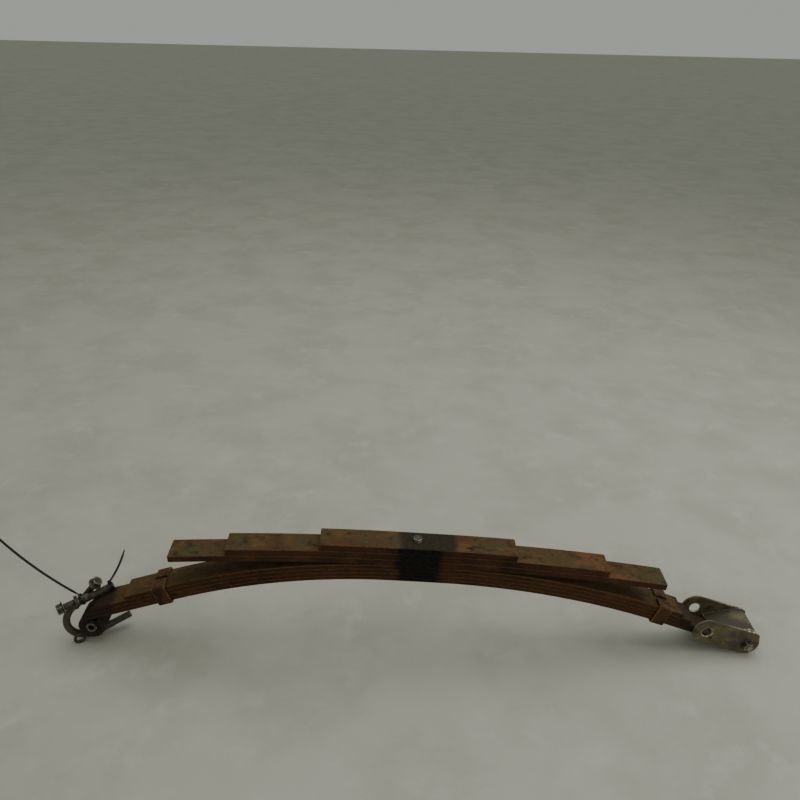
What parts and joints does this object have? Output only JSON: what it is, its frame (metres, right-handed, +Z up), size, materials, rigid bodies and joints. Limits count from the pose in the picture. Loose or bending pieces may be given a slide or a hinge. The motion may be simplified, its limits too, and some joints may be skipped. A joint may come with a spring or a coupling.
{
  "type": "leaf spring",
  "caption": "Rusty multi-leaf vehicle spring with helper leaves, bushed eyes, clips, a swinging shackle on the rear eye and loose U-bolt and eye bolt at the front eye.",
  "frame": {"origin": "on the top face of the short helper leaf, at the centre bolt's axis: the centre of the axle seat", "axes": "+Z is up as the spring lies on the floor; +X runs along the spring from the front (fixed) eye to the rear (shackle) eye; +Y runs across it, along the eyes' bores. The axle seat's normal is tilted 3.19 degrees from +Z towards +X."},
  "size_m": [1.7144, 0.1531, 0.2834],
  "materials": {
    "leaf_steel": "hot-rolled spring steel, rusted red-brown with dull ochre patches",
    "clip_steel": "mild steel strap, rusted ochre-brown",
    "shackle_steel": "olive-grey passivated pressing, worn and rusting at the pivot",
    "hardware_steel": "dull plated fasteners with grime and rust",
    "bare_steel": "worn bright sleeve ends with grime",
    "rubber": "old black bush rubber",
    "nylon": "black nylon tie"
  },
  "bodies": {
    "spring": {"main_leaf": "leaf_steel", "second_leaf": "leaf_steel", "third_leaf": "leaf_steel", "fourth_leaf": "leaf_steel", "helper_leaf_long": "leaf_steel", "helper_leaf_middle": "leaf_steel", "helper_leaf_short": "leaf_steel", "front_clip": "clip_steel", "rear_clip": "clip_steel", "clip_rivets": "clip_steel", "centre_bolt": "hardware_steel", "centre_bolt_nut": "hardware_steel", "u_bolt": "hardware_steel", "eye_bolt": "hardware_steel", "hanger_bolt": "hardware_steel", "thick_washer": "hardware_steel", "loose_washer": "hardware_steel", "front_bush_outer_sleeve": "bare_steel", "rear_bush_outer_sleeve": "bare_steel", "front_bush_rubber": "rubber", "rear_bush_rubber": "rubber", "long_cable_tie": "nylon", "short_cable_tie": "nylon"},
    "front_bush_core": {"front_bush_inner_sleeve": "bare_steel"},
    "shackle": {"shackle_front_plate": "shackle_steel", "shackle_rear_plate": "shackle_steel", "shackle_web": "shackle_steel", "shackle_bolt": "hardware_steel", "shackle_nut": "hardware_steel", "shackle_washers": "hardware_steel", "rear_bush_inner_sleeve": "bare_steel"}
  },
  "joints": [
    {"name": "shackle_pivot", "type": "hinge", "parent": "spring", "child": "shackle", "pos_m": [0.75105, 0, -0.24594], "axis": [0, 1, 0], "range_deg": [0, 140]},
    {"name": "front_bush_twist", "type": "hinge", "parent": "spring", "child": "front_bush_core", "pos_m": [-0.72048, 0, -0.22579], "axis": [0, 1, 0], "range_deg": [-15, 15], "stiffness_Nm_per_rad": 100}
  ]
}
